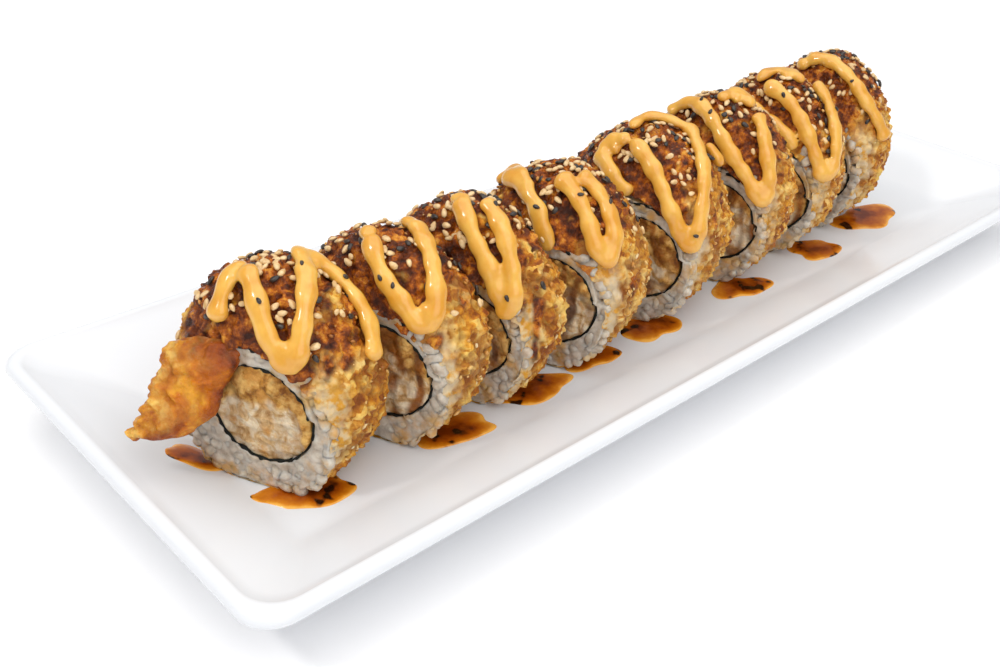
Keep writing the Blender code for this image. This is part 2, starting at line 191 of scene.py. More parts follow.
# Short loops of drizzle over each crest, thinner than the strands, given the same way
CREST_LOOPS = (
    (((-21, -0.60), (-18, -0.48), (-14, -0.35), (-9, -0.36)),),
    (((-11, -0.43), (-8, -0.28), (-4, -0.40)), ((25, 0), (16, 0.38), (10, 0.45), (2, 0.38))),
    (((-8, -0.45), (-5, -0.27), (3, -0.35)),),
    (((-39, -0.38), (-34, -0.10), (-22, -0.44), (-12, -0.75)),),
    (((-28, -0.73), (-24, -0.60), (-18, -0.56), (-8, -0.62)),
     ((-11, -0.38), (-8, 0.10), (5, 0.23), (15, 0.28), (22, 0.42))),
    (((0, -0.43), (4, 0.02), (11, 0.18), (21, -0.18)),),
    (((-14, -0.55), (-9, -0.25), (0, 0.02), (12, -0.05), (18, -0.25)),),
    (((-24, -0.62), (-16, -0.53), (-6, -0.53)),),
)

# Puddles of sauce on the plate: centre x, centre y, half length, half width, turn in degrees
PUDDLES = (
    (-156, 2.5, 8.4, 4.8, -47),
    (-140.5, -24, 11, 6.8, -20),
    (-96, -27.5, 11.5, 6.5, -22),
    (-66.5, -26.5, 12.5, 6.5, -18),
    (-41, -26, 9.5, 5.5, -14),
    (-13, -25, 10, 8, -8),
    (30.5, -27.5, 11.5, 6.5, -8),
    (75, -27, 10.5, 7, -10),
    (114, -23.5, 15, 9, -6),
)

# Camera, from the plate's perspective in a 1000 by 667 image
CAMERA_PLACE = (-255.7 * MM, -207.1 * MM, 166.7 * MM + PLATE_HEIGHT)
CAMERA_PITCH = math.radians(31.54)
CAMERA_YAW = math.radians(44.24)
CAMERA_ROLL = math.radians(3.03)
FOCAL_PIXELS = 1113.6
IMAGE_WIDTH = 1000
SENSOR_WIDTH = 36

# Places of the Mix node's colour sockets
MIX_FIRST = 6
MIX_SECOND = 7
MIX_RESULT = 2


def signed_power(value, power):
    return np.sign(value) * np.abs(value) ** power


def unit(vectors):
    """Each vector at length 1."""
    return vectors / np.linalg.norm(vectors, axis=-1, keepdims=True)


def limit(value):
    """The value, kept from 0 to 1."""
    return np.clip(value, 0, 1)


class Slice:
    """One slice: its sizes, its surface and its place, with arrays in and arrays out."""

    def __init__(self, index, sizes):
        x, y, turn, thickness, width, height = sizes
        self.name = f"slice_{index + 1}"
        self.index = index
        self.half_thickness = thickness * MM / 2
        self.half_width = width * MM / 2
        self.height = height * MM
        self.filling = FILLING_SHIFT[index] * MM
        self.centre = np.array((x * MM, y * MM, SLICE_FLOOR))
        turn = math.radians(turn)
        self.along = np.array((math.cos(turn), math.sin(turn), 0))
        self.side = np.array((-math.sin(turn), math.cos(turn), 0))

    def world(self, depth, across, up):
        """Points from their distance along the roll, to the left and up."""
        depth, across, up = np.broadcast_arrays(depth, across, up)
        points = self.centre + depth[..., None] * self.along + across[..., None] * self.side
        points[..., 2] += up
        return points

    def outline(self, angle, share):
        """Left and up on the crust, at an angle from the crest towards the front."""
        edge = np.abs(share) ** EDGE_POWER
        half_width = self.half_width - FACE_SIDE_INSET * edge
        top = self.height - FACE_TOP_DROP * edge
        waist = WAIST_SHARE * top
        roundness = 2 / np.where(np.cos(angle) > 0, SHOULDER_POWER, FOOT_POWER)
        across = -half_width * signed_power(np.sin(angle), roundness)
        rise = signed_power(np.cos(angle), roundness)
        reach = np.where(rise > 0, top - waist, waist + FLAT_BOTTOM)
        return across, np.maximum(waist + reach * rise, 0)

    def surface(self, angle, share):
        """Points on the crust, or over the near cut where the share is less than -1."""
        inside = np.maximum(share, -1)
        across, up = self.outline(angle, inside)
        inward = np.maximum(-1 - share, 0)
        across = across - (across - self.filling) * inward
        up = up - (up - FILLING_HEIGHT) * inward
        return self.world(inside * self.half_thickness, across, up)

    def normal(self, angle, share):
        """The crust's outward direction, from points close together."""
        step = 0.02
        share = np.clip(share, -0.97, 0.97)
        round_way = self.surface(angle + step, share) - self.surface(angle - step, share)
        length_way = self.surface(angle, share + step) - self.surface(angle, share - step)
        return unit(np.cross(round_way, length_way))


class Shapes:
    """Many small closed shapes gathered as arrays and made into one mesh."""

    def __init__(self):
        self.points = []
        self.faces = []
        self.count = 0

    def add(self, points, faces):
        self.points.append(points)
        self.faces.append(faces + self.count)
        self.count += len(points)

    def mesh(self):
        data = bpy.data.meshes.new("shapes")
        points = np.concatenate(self.points)
        points[:, 2] = np.minimum(points[:, 2], CAD_TOP)
        data.from_pydata(points.tolist(), [], np.concatenate(self.faces).tolist())
        return data


def new_object(name, data):
    obj = bpy.data.objects.new(name, data)
    bpy.context.scene.collection.objects.link(obj)
    return obj


def add_piece(name, data, material, slot, node=None, **attributes):
    """A finished piece: its attributes, material and body, and the node that it stands in for, which it
    hides; the slot is not used.
    """
    data.name = name
    for label, values in attributes.items():
        target = data.attributes.new(label, "FLOAT", "POINT").data
        target.foreach_set("value", values.astype(np.float32).ravel())
    data.materials.append(material)
    data.shade_smooth()
    obj = new_object(name, data)
    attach(obj, BODY)
    if node:
        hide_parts(node)
    return data


def ring_quads(rows, columns):
    """The numbers of a grid's points, and the quads that join its closed rows."""
    index = np.arange(rows * columns).reshape(rows, columns)
    after = np.roll(index, -1, axis=1)
    return index, np.stack([index[:-1], after[:-1], after[1:], index[1:]], axis=-1).reshape(-1, 4)


def grid_piece(name, points, caps, material, slot, node=None, **attributes):
    """A piece from a grid of points in closed rows. With caps, its faces are turned outward."""
    index, quads = ring_quads(*points.shape[:2])
    faces = quads.tolist()
    for row in caps:
        cap = index[row].tolist()
        faces.append(cap if row else cap[::-1])
    data = bpy.data.meshes.new("grid")
    data.from_pydata(points.reshape(-1, 3).tolist(), [], faces)
    if caps:
        form = bmesh.new()
        form.from_mesh(data)
        bmesh.ops.recalc_face_normals(form, faces=form.faces)
        form.to_mesh(data)
        form.free()
    return add_piece(name, data, material, slot, node, **attributes)


def circle(count):
    """Even angles, once round."""
    return np.linspace(0, 2 * math.pi, count, endpoint=False)


def round_grid(grid, first, last):
    """The angle of each point of a grid, and its place between the first row and the last."""
    columns, rows = grid
    angle = circle(columns)[None, :]
    return np.broadcast_arrays(angle, np.linspace(first, last, rows)[:, None])


def unit_shape(create, **sizes):
    """Points and triangles of a shape of radius 1 that bmesh creates."""
    form = bmesh.new()
    create(form, radius=1, **sizes)
    bmesh.ops.triangulate(form, faces=form.faces)
    points = np.array([vert.co for vert in form.verts])
    faces = np.array([[vert.index for vert in face.verts] for face in form.faces])
    form.free()
    return points, faces


def random_axes(up, lean, draw):
    """Three axes: the third near up, leaned by up to a share each way, the others turned at random."""
    up = unit(up + np.array([draw.uniform(-lean, lean) for _ in range(3)]))
    spin = draw.uniform(0, ANY_TURN)
    helper = np.array((0.0, 0.0, 1.0)) if abs(up[2]) < 0.9 else np.array((1.0, 0.0, 0.0))
    first = unit(np.cross(helper, up))
    second = np.cross(up, first)
    cos, sin = math.cos(spin), math.sin(spin)
    return np.array((first * cos + second * sin, second * cos - first * sin, up))


def too_near(spot, placed, spacing):
    return any(np.sum((spot - other) ** 2) < spacing ** 2 for other in placed)


def smoothed(line, rounds):
    """Rows of numbers averaged with their neighbours, in place, with the two ends kept."""
    for _ in range(rounds):
        line[1:-1] = (line[:-2] + line[1:-1] + line[2:]) / 3


def field(points, size, offset, value=noise.noise):
    """Smooth noise at each point, from -1 to 1, with swells of the given size."""
    flat = points.reshape(-1, 3) / size + offset
    values = np.fromiter((value(Vector(point)) for point in flat), float, len(flat))
    return values.reshape(points.shape[:-1])


def nearest_cell(point):
    return noise.voronoi(point)[0][0]


def lumps(points, size, offset, steepness, lowest):
    """Rounded lumps of the given size: 1 in the middle of each, down to the lowest between them."""
    return np.clip(1 - field(points, size, offset, nearest_cell) * steepness, lowest, 1)


class Nodes:
    """A short way to write a material's nodes."""

    def __init__(self, name):
        self.material = bpy.data.materials.new(name)
        self.material.use_nodes = True
        self.tree = self.material.node_tree
        self.shader = self.tree.nodes["Principled BSDF"]
        self.coords = self.new("TexCoord").outputs["Object"]

    def put(self, value, socket):
        """On a socket: another node's output, the attribute with a name, or a value."""
        if isinstance(value, str):
            node = self.new("Attribute")
            node.attribute_name = value
            value = node.outputs["Fac"]
        if isinstance(value, bpy.types.NodeSocket):
            self.tree.links.new(value, socket)
        else:
            socket.default_value = value

    def new(self, kind, **inputs):
        node = self.tree.nodes.new("ShaderNode" + kind)
        for name, value in inputs.items():
            self.put(value, node.inputs[name.replace("_", " ")])
        return node

    def noise(self, scale, detail=4.0, roughness=0.55, distortion=0.0):
        return self.new("TexNoise", Vector=self.coords, Scale=scale, Detail=detail, Roughness=roughness,
                        Distortion=distortion).outputs["Fac"]

    def source(self, value):
        """The value itself, or noise where its numbers are given."""
        return self.noise(*value) if isinstance(value, tuple) else value

    def cells(self, scale, vector):
        return self.new("TexVoronoi", Vector=vector, Scale=scale).outputs

    def warp(self, scale, distance):
        """The object's coordinates, pushed about by noise."""
        texture = self.new("TexNoise", Vector=self.coords, Scale=scale)
        push = self.new("VectorMath")
        push.operation = "MULTIPLY_ADD"
        self.put(texture.outputs["Color"], push.inputs[0])
        self.put((distance * 2, distance * 2, distance * 2), push.inputs[1])
        self.put(self.coords, push.inputs[2])
        return push.outputs["Vector"]

    def ramp(self, source, *stops):
        """A colour from a value, through stops that give a place, red, green and blue."""
        node = self.new("ValToRGB", Fac=self.source(source))
        elements = node.color_ramp.elements
        while len(elements) < len(stops):
            elements.new(0.5)
        for element, (place, *colour) in zip(elements, stops):
            element.position = place
            element.color = (*colour, 1)
        return node.outputs["Color"]

    def band(self, source, low, high, to_low=0.0, to_high=1.0):
        return self.new("MapRange", Value=self.source(source), From_Min=low, From_Max=high, To_Min=to_low,
                        To_Max=to_high).outputs["Result"]

    def mix(self, factor, first, second):
        """The first colour, and the second where the factor is 1."""
        node = self.tree.nodes.new("ShaderNodeMix")
        node.data_type = "RGBA"
        self.put(factor, node.inputs["Factor"])
        self.put(first, node.inputs[MIX_FIRST])
        self.put((*second, 1) if isinstance(second, tuple) else second, node.inputs[MIX_SECOND])
        return node.outputs[MIX_RESULT]

    def math(self, operation, first, second):
        node = self.new("Math")
        node.operation = operation
        self.put(first, node.inputs[0])
        self.put(second, node.inputs[1])
        return node.outputs[0]

    def plus(self, first, second):
        return self.math("ADD", first, second)

    def times(self, first, second):
        return self.math("MULTIPLY", first, second)

    def tint(self, base, mask, strength, colour):
        """The base with a colour laid over it, as strong as the mask times the strength."""
        return self.mix(self.times(mask, strength), base, colour)

    def colour(self, output):
        self.put(output, self.shader.inputs["Base Color"])

    def bump(self, height, distance, strength):
        node = self.new("Bump", Height=height, Distance=distance, Strength=strength)
        self.set(Normal=node.outputs["Normal"])

    def set(self, **values):
        for name, value in values.items():
            self.put(value, self.shader.inputs[name.replace("_", " ")])

    def light(self, shine=0.5, soft=None, coat=None):
        """Highlights, light under the surface (weight, scale, radii), clear coat (weight, roughness)."""
        self.set(Specular_IOR_Level=shine)
        if soft:
            self.set(Subsurface_Weight=soft[0], Subsurface_Scale=soft[1], Subsurface_Radius=soft[2:])
        if coat:
            self.set(Coat_Weight=coat[0], Coat_Roughness=coat[1])

    def finish(self, gloss, relief, **light):
        """Roughness from noise (scale, detail, least, most), bump from (its noise, distance, strength)."""
        scale, detail, least, most = gloss
        texture, distance, strength = relief
        self.set(Roughness=self.band((scale, detail), 0.3, 0.7, least, most))
        self.bump(self.noise(*texture), distance, strength)
        self.light(**light)
        return self.material


def glaze_material():
    """White glaze: smooth, with a faint waviness and a slight change of gloss."""
    nodes = Nodes("plate_glaze")
    nodes.colour(nodes.ramp((18, 2), (0.35, 0.745, 0.765, 0.8), (0.7, 0.765, 0.785, 0.815)))
    return nodes.finish((60, 3, 0.11, 0.2), ((35, 2), 0.0003, 0.25), shine=0.22)


def crust_material():
    """Fried crumb: each crumb its own gold or cream, painted dark amber shade between them, glossy red-brown
    where sauced.
    """
    nodes = Nodes("fried_crust")
    warped = nodes.warp(260, 0.0012)
    crumb = nodes.new("SeparateColor", Color=nodes.cells(430, warped)["Color"]).outputs["Red"]
    grain = nodes.plus(nodes.times(crumb, 0.16), nodes.times(nodes.noise(430, 6, 0.68), 0.42))
    grain = nodes.plus(grain, nodes.times(nodes.noise(135, 4, 0.6), 0.5))
    golden = nodes.ramp(grain, (0.42, 0.24, 0.052, 0.001), (0.49, 0.52, 0.165, 0.004),
                        (0.56, 0.76, 0.34, 0.022), (0.64, 0.92, 0.6, 0.14))
    pale = nodes.ramp(grain, (0.42, 0.5, 0.17, 0.006), (0.51, 0.73, 0.38, 0.06), (0.62, 0.88, 0.65, 0.28))
    base = nodes.mix("pale", golden, pale)
    base = nodes.tint(base, nodes.band((95, 5, 0.62), 0.53, 0.62), 0.7, (0.33, 0.1, 0.012))
    # Painted shade: dark amber laid into the low spots of the crags
    crevice_shade = nodes.band("height", -0.6, 0.15, 1.0, 0.0)
    base = nodes.tint(base, crevice_shade, 0.75, (0.27, 0.08, 0.008))
    bare = nodes.ramp((230, 4, 0.6), (0.4, 0.7, 0.56, 0.37), (0.52, 0.76, 0.55, 0.28), (0.6, 0.7, 0.33, 0.03))
    base = nodes.mix("bare", base, bare)
    glazed = nodes.ramp(nodes.plus(nodes.times(nodes.noise(260, 6, 0.66), 0.92), nodes.times(crumb, 0.08)),
                        (0.38, 0.045, 0.009, 0.002), (0.48, 0.16, 0.03, 0.002), (0.57, 0.46, 0.115, 0.005),
                        (0.66, 0.78, 0.34, 0.035))
    nodes.colour(nodes.mix("sauce", base, glazed))
    nodes.set(Roughness=nodes.band("sauce", 0.1, 0.8, 0.45, 0.13))
    nodes.light(shine=0.32, soft=(0.05, 0.3, 0.003, 0.0012, 0.0004))
    pits = nodes.times(nodes.cells(480, warped)["Distance"], -0.4)
    nodes.bump(nodes.plus(nodes.noise(1000, 6, 0.68), pits), 0.0009, 0.8)
    return nodes.material


def flake_material():
    """Loose crumbs and flakes: cream to brown, each its own shade."""
    nodes = Nodes("crust_flakes")
    nodes.colour(nodes.ramp("shade", (0.0, 0.28, 0.08, 0.008), (0.35, 0.6, 0.27, 0.045),
                            (0.7, 0.8, 0.52, 0.18), (1.0, 0.88, 0.72, 0.44)))
    return nodes.finish((400, 3, 0.35, 0.6), ((1500, 4), 0.0004, 0.5), coat=(0.2, 0.25),
                        soft=(0.15, 0.4, 0.004, 0.002, 0.001))


def rice_material(name):
    """Cooked rice: translucent white, warmed here and there by oil and sauce."""
    nodes = Nodes(name)
    white = nodes.ramp((420, 3), (0.3, 0.38, 0.305, 0.228), (0.7, 0.68, 0.6, 0.5))
    stain = nodes.band((110, 5, 0.6), 0.5, 0.64)
    nodes.colour(nodes.tint(white, stain, 0.8, (0.6, 0.3, 0.06)))
    return nodes.finish((300, 2, 0.22, 0.4), ((900, 3), 0.0003, 0.35), shine=0.4,
                        soft=(0.7, 0.8, 0.006, 0.0048, 0.0036))


def nori_material():
    """Moist seaweed: green-black with a fine crumple."""
    nodes = Nodes("nori_sheet")
    nodes.colour(nodes.ramp((500, 5), (0.35, 0.002, 0.002, 0.002), (0.7, 0.012, 0.014, 0.009)))
    return nodes.finish((350, 4, 0.45, 0.75), ((1100, 5), 0.0004, 0.6), shine=0.2)


def shrimp_material():
    """Cut tempura: white flesh, tan batter with grey-brown specks, amber where sauce seeped in, painted shade
    in hollows.
    """
    nodes = Nodes("tempura_shrimp_flesh")
    flesh = nodes.ramp((260, 5, 0.6, 0.8), (0.34, 0.42, 0.21, 0.06), (0.46, 0.7, 0.47, 0.23),
                       (0.58, 0.86, 0.72, 0.51))
    batter = nodes.ramp((330, 5, 0.62), (0.34, 0.2, 0.065, 0.006), (0.46, 0.5, 0.23, 0.04),
                        (0.58, 0.76, 0.46, 0.14))
    base = nodes.mix("batter", flesh, batter)
    # Painted shade: darker brown laid into the low spots between the lumps
    crevice_shade = nodes.band("height", 0.0, 0.5, 1.0, 0.0)
    amber = nodes.band((150, 4, 0.6), 0.56, 0.66)
    specks = nodes.band((125, 3, 0.5, 0.4), 0.62, 0.7)
    base = nodes.tint(base, crevice_shade, 0.7, (0.3, 0.14, 0.04))
    base = nodes.tint(base, amber, 0.7, (0.66, 0.3, 0.06))
    base = nodes.tint(base, specks, 0.6, (0.16, 0.12, 0.07))
    # Dark red-brown over the cut: partly sauce, partly painted shade where the cut lies between slices
    soak = nodes.ramp((200, 4), (0.35, 0.085, 0.018, 0.001), (0.65, 0.34, 0.1, 0.006))
    nodes.colour(nodes.mix("soaked", base, soak))
    return nodes.finish((260, 4, 0.28, 0.5), ((600, 6, 0.65), 0.0013, 0.9), shine=0.25,
                        soft=(0.08, 0.4, 0.003, 0.0015, 0.0005))


def tail_material():
    """Fried tail: glossy orange-brown skin, pale gold crumb at its outer edge."""
    nodes = Nodes("shrimp_tail_batter")
    skin = nodes.ramp((110, 6, 0.6, 0.6), (0.34, 0.11, 0.015, 0.0005), (0.46, 0.31, 0.055, 0.001),
                      (0.57, 0.56, 0.15, 0.002), (0.67, 0.76, 0.34, 0.02))
    crumb = nodes.ramp((260, 5, 0.6), (0.34, 0.36, 0.085, 0.001), (0.5, 0.64, 0.26, 0.012),
                       (0.64, 0.84, 0.54, 0.12))
    base = nodes.mix("crumby", skin, crumb)
    # Painted shade: darker red-brown laid into the low spots of the crumb
    crevice_shade = nodes.band("height", -0.4, 0.3, 1.0, 0.0)
    nodes.colour(nodes.tint(base, crevice_shade, 0.5, (0.36, 0.1, 0.012)))
    return nodes.finish((300, 4, 0.12, 0.36), ((750, 6, 0.65), 0.0009, 0.8), shine=0.35,
                        soft=(0.12, 0.4, 0.004, 0.0015, 0.0005))


def drizzle_material():
    """Thick creamy drizzle: warm yellow, smooth and glossy."""
    nodes = Nodes("creamy_drizzle")
    nodes.colour(nodes.ramp((140, 3), (0.35, 0.68, 0.31, 0.03), (0.65, 0.8, 0.45, 0.08)))
    return nodes.finish((220, 2, 0.14, 0.24), ((420, 2), 0.0002, 0.25), coat=(0.3, 0.1),
                        soft=(0.2, 0.5, 0.003, 0.0015, 0.0004))


def seed_material(name, dark, light):
    """Toasted seed, shaded between two colours."""
    nodes = Nodes(name)
    nodes.colour(nodes.ramp((700, 3), (0.35, *dark), (0.65, *light)))
    return nodes.finish((500, 2, 0.3, 0.5), ((1600, 3), 0.0002, 0.4), coat=(0.2, 0.2))


def puddle_material():
    """Dark sweet sauce: amber where thin, red-brown where deep, with darker drops in it."""
    nodes = Nodes("eel_sauce")
    wobble = nodes.band((150, 5), 0.3, 0.7, -0.3, 0.3)
    clear = nodes.ramp(nodes.plus("depth", wobble), (0.05, 0.86, 0.42, 0.06), (0.34, 0.62, 0.2, 0.006),
                       (0.74, 0.38, 0.08, 0.002), (1.0, 0.17, 0.027, 0.001))
    drops = nodes.band((150, 2), 0.62, 0.67)
    nodes.colour(nodes.mix(drops, clear, (0.022, 0.006, 0.002)))
    return nodes.finish((200, 2, 0.08, 0.16), ((240, 3), 0.0004, 0.3), shine=0.3)


def rounded_rectangle(half_x, half_y, radius, height):
    """Points of a rectangle with arcs at its corners and even points along its sides."""
    arcs = []
    for quarter, (side_x, side_y) in enumerate(((1, 1), (-1, 1), (-1, -1), (1, -1))):
        angle = math.pi / 2 * (quarter + np.linspace(0, 1, CORNER_POINTS))
        arcs.append(np.stack([side_x * (half_x - radius) + radius * np.cos(angle),
                              side_y * (half_y - radius) + radius * np.sin(angle),
                              np.full(CORNER_POINTS, height)], -1))
    points = []
    for arc, after in zip(arcs, arcs[1:] + arcs[:1]):
        points += [arc, np.linspace(arc[-1], after[0], SIDE_POINTS + 2)[1:-1]]
    return np.concatenate(points)


def make_plate():
    """The plate: foot ring, sloping underside, finely rounded lip, sloping sides, softened crease, floor."""
    half_lip = LIP_THICKNESS / 2
    lip_middle = PLATE_HEIGHT - half_lip
    lip_underside = lip_middle - 1.4 * half_lip
    # Each step: how far in from the rim, the height, and the corner's radius
    steps = []
    for inset, height in ((6, 0.5), (4, 0), (1, 0), (0, 0.5), (-1.5, 1.5)):
        steps.append((FOOT_INSET + inset * MM, height * MM, LIP_CORNER))
    steps.append((20 * MM, 0.5 * lip_underside + 0.6 * MM, LIP_CORNER))
    steps.append((4 * MM, lip_underside, LIP_CORNER))
    for degrees in range(-75, 150, 12):
        turn = math.radians(degrees)
        inset = half_lip * (1 - math.cos(turn))
        steps.append((inset, lip_middle + half_lip * math.sin(turn), LIP_CORNER))
    start_inset, start_height, _ = steps[-1]
    for step in range(1, SLOPE_STEPS + 1):
        share = step / SLOPE_STEPS
        inset = start_inset + (SLOPE_WIDTH - CREASE_WIDTH - start_inset) * share
        height = start_height + (PLATE_FLOOR + CREASE_RISE - start_height) * share
        steps.append((inset, height, LIP_CORNER + (FLOOR_CORNER - LIP_CORNER) * share))
    for inset, lift in ((-1.5, 0.65), (0, 0.32), (1.5, 0.12), (3.5, 0.0), (8, 0.0)):
        steps.append((SLOPE_WIDTH + inset * MM, PLATE_FLOOR + lift * MM, FLOOR_CORNER))
    rings = np.array([rounded_rectangle(PLATE_HALF_LENGTH - inset, PLATE_HALF_WIDTH - inset, corner, height)
                      for inset, height, corner in steps])
    data = grid_piece("plate_glazed", rings, BOTH_ENDS, glaze_material(), "plate_glaze", "plate")
    data.set_sharp_from_angle(angle=math.radians(40))


def make_crust(piece, material):
    """A slice's fried outside: craggy, pale at the near rim, sauced on the crest, over both rims."""
    angle, spread = round_grid(CRUST_GRID, -1, 1)
    shift = piece.index * 3.7
    crest = limit((np.cos(angle) - 0.35) / 0.5)
    ragged = 0.02 * np.sin(angle * 13 + shift) + 0.015 * np.sin(angle * 29 + shift)
    over = limit(-spread - 0.93) / 0.07 * (0.012 + 0.17 * crest + ragged * (1 - crest))
    share = np.clip(spread * 1.06, -1, 1)
    points = piece.surface(angle, np.where(over > 0, -1 - over, share))
    faced = limit((np.abs(spread) - 0.86) / 0.10)[..., None]
    out = piece.normal(angle, share) * (1 - 0.75 * faced)
    out += piece.along * np.sign(spread)[..., None] * 0.75 * faced
    crags = lumps(points, 4.0 * MM, shift, 1.25, -0.3) + 0.75 * lumps(points, 2.1 * MM, shift + 9, 1.3, -0.3)
    crags = crags + 0.5 * field(points, 10 * MM, shift) + 0.3 * field(points, 1.1 * MM, shift)
    lift = (-1.3 + 1.75 * crags + 9 * np.clip(over, 0, 0.13)) * MM
    firm = limit((points[..., 2] - SLICE_FLOOR) / (3 * MM))
    points = points + out * (lift * firm)[..., None]
    points[..., 2] = np.clip(points[..., 2], SLICE_FLOOR - 0.2 * MM, CAD_TOP)

    patches = field(points, 9 * MM, shift + 20) + 0.6 * field(points, 3.5 * MM, shift + 40)
    sauce = limit((patches + 1.5 * crest - 0.75) * 4) * limit(crest * 5)
    runs = field(points * np.array((1, 1, 0.18)), 5 * MM, shift + 60)
    sauce = np.maximum(sauce, limit((runs - 0.42) * 7) * limit((np.cos(angle) + 0.45) * 3))
    rim = limit((-spread - 0.45) / 0.35)
    pale = limit(0.04 + 1.1 * field(points, 7 * MM, shift + 80) + 0.8 * rim * (1 - crest))
    bare = limit((-spread - 0.62 + 0.22 * field(points, 4 * MM, shift + 99)) * 5) * limit(1.1 - crest * 1.8)
    grid_piece(f"{piece.name}_crust", points, OPEN_ENDS, material, "crust_and_rice", f"{piece.name}_rice",
               height=crags - 0.7, sauce=sauce, pale=pale, bare=bare)


def add_flakes(piece, shapes, shades, template, draw):
    """Crumbs and flakes standing on the crust, more of them at the far rim, darker ones on the crest."""
    points, faces = template
    for _ in range(FLAKES_PER_SLICE):
        angle = draw.uniform(-2.35, 2.35)
        share = draw.uniform(-0.7, 1)
        if draw.random() < 0.25:
            share = draw.uniform(0.9, 1.0)
        size = draw.uniform(0.35, 0.85) * MM
        up = piece.normal(angle, share)
        axes = random_axes(up, 0.7, draw)
        jitter = np.array([[draw.uniform(0.7, 1.25)] for _ in points])
        ranges = ((0.9, 1.6), (0.6, 1.0), (0.35, 0.7))
        scale = np.array([size * draw.uniform(least, most) for least, most in ranges])
        middle = piece.surface(angle, share) + up * draw.uniform(-0.5, 0.35) * MM
        placed = (points * jitter * scale) @ axes + middle
        placed[:, 2] = np.maximum(placed[:, 2], PLATE_FLOOR + 0.1 * MM)
        shapes.add(placed, faces)
        crest = max(0.0, math.cos(angle))
        shades.extend([min(1.0, max(0.0, draw.gauss(0.62 - 0.35 * crest, 0.2)))] * len(points))


def widening(ring):
    """How much wider than at its start the nori's coil is, from the share of its first turn."""
    return NORI_RISE * np.minimum(ring, 1) ** 4


def tail_rise(share):
    """How much further out the coil's loose end goes, from the share of its length."""
    return NORI_TAIL_RISE * np.sin(share ** 2 * math.pi / 2)


def turned(angle):
    """How far the coil has turned where it passes an angle for the first time."""
    return (NORI_START - angle) % (2 * math.pi)


def make_nori(piece, material):
    """The coiled sheet of seaweed, a little wavy, standing slightly proud of the cut."""
    turn = np.linspace(0, NORI_RING_TURN + NORI_TAIL_TURN, NORI_POINTS)
    past = np.maximum(turn - NORI_RING_TURN, 0)
    radius = NORI_RADIUS + widening(turn / NORI_RING_TURN) + tail_rise(past / NORI_TAIL_TURN)
    across = radius * np.cos(NORI_START - turn)
    up = FILLING_HEIGHT + radius * np.sin(NORI_START - turn)
    tangent = unit(np.stack([np.gradient(across), np.gradient(up)], -1))
    thick = NORI_THICKNESS * 0.5 * (0.62 + 0.28 * np.sin(turn * 17 + piece.index * 2))
    ragged = 0.25 * MM * np.sin(turn * 31 + piece.index)
    sunk = 1.6 * MM * limit(np.minimum(turn - NORI_RING_TURN, 1.15 - turn + NORI_RING_TURN) * 8)
    loop = []
    for sign, depth in NORI_LOOP:
        wave = 0.22 * MM * np.sin(turn * 9 + piece.index + depth)
        left = piece.filling + across - tangent[:, 1] * (wave + sign * thick)
        rise = up + tangent[:, 0] * (wave + sign * thick)
        edge = ragged if abs(depth) == 1 else 0
        loop.append(piece.world(depth * (piece.half_thickness + 0.3 * MM + edge - sunk), left, rise))
    points = np.stack(loop, axis=1)
    grid_piece(f"{piece.name}_nori_sheet", points, BOTH_ENDS, material, "nori", f"{piece.name}_nori")


def make_filling(piece, material):
    """The cut shrimp in its batter: white flesh below, tan lumpy batter above and round the rim."""
    angle, reach = round_grid(FILLING_GRID, 0.01, 1)
    sides, batters, heights, sauce_and_shade_masks = [], [], [], []
    for sign in (-1, 1):
        seed = piece.index * 5.3 + sign
        lean = 0.5 * math.sin(seed * 3)
        flat = np.stack([np.cos(angle) * reach, np.sin(angle) * reach, np.full_like(reach, seed)], -1) * 12
        high = np.sin(angle + lean) * reach
        batter = limit((high * 1.1 - 0.1 + 0.7 * field(flat, 4.5, seed) + 1.1 * (reach - 0.55)) * 3)
        fold = 1 - np.abs(field(flat * np.array((0.6, 1.6, 1)), 3.6, seed + 2)) * 2.2
        bumps = 1.2 * lumps(flat, 5.2, seed, 1.1, -0.2) + 0.7 * lumps(flat, 2.4, seed + 4, 1.2, -0.2)
        bumps = bumps * (0.55 + 0.6 * batter)
        dome = 0.1 + 1.35 * bumps + 0.45 * fold * (1 - batter) - 0.35 * reach ** 12
        ring = turned(angle) / NORI_RING_TURN
        radius = (FILLING_RADIUS + 0.85 * widening(ring) * limit((1.02 - ring) * 18)) * reach
        depth = sign * (piece.half_thickness - 0.6 * MM + dome * MM)
        left = piece.filling + radius * np.cos(angle)
        sides.append(piece.world(depth, left, FILLING_HEIGHT + radius * np.sin(angle)))
        batters.append(batter)
        heights.append(bumps + 0.2 * fold)
        # Dark colour in streaks: partly real sauce, and in the slices behind the first much stronger, as
        # painted shade between the slices
        streak = field(flat * np.array((1.3, 0.35, 1)), 3.2, seed + 7)
        sauce_and_shade_masks.append(limit((streak + 0.12) * 2.2) * (0.25 if piece.index == 0 else 0.9))
    points, batter, height, soaked = (
        np.concatenate([first, last[::-1]]) for first, last in (sides, batters, heights, sauce_and_shade_masks))
    grid_piece(f"{piece.name}_shrimp_flesh", points, BOTH_ENDS, material, "tempura_shrimp",
               f"{piece.name}_shrimp", batter=batter, height=height, soaked=soaked)


def in_rice(left, rise):
    """Whether a point of the section, from the coil's middle, lies outside the coil and its loose end."""
    reach = math.hypot(left, rise)
    outside = NORI_RADIUS + NORI_RISE
    if reach < outside + 1.3 * MM:
        return False
    tail = turned(math.atan2(rise, left)) + 2 * math.pi - NORI_RING_TURN
    beside_tail = 1.1 < tail < NORI_TAIL_TURN + 0.25
    return not (beside_tail and reach > outside + tail_rise(tail / NORI_TAIL_TURN) - 1.3 * MM)


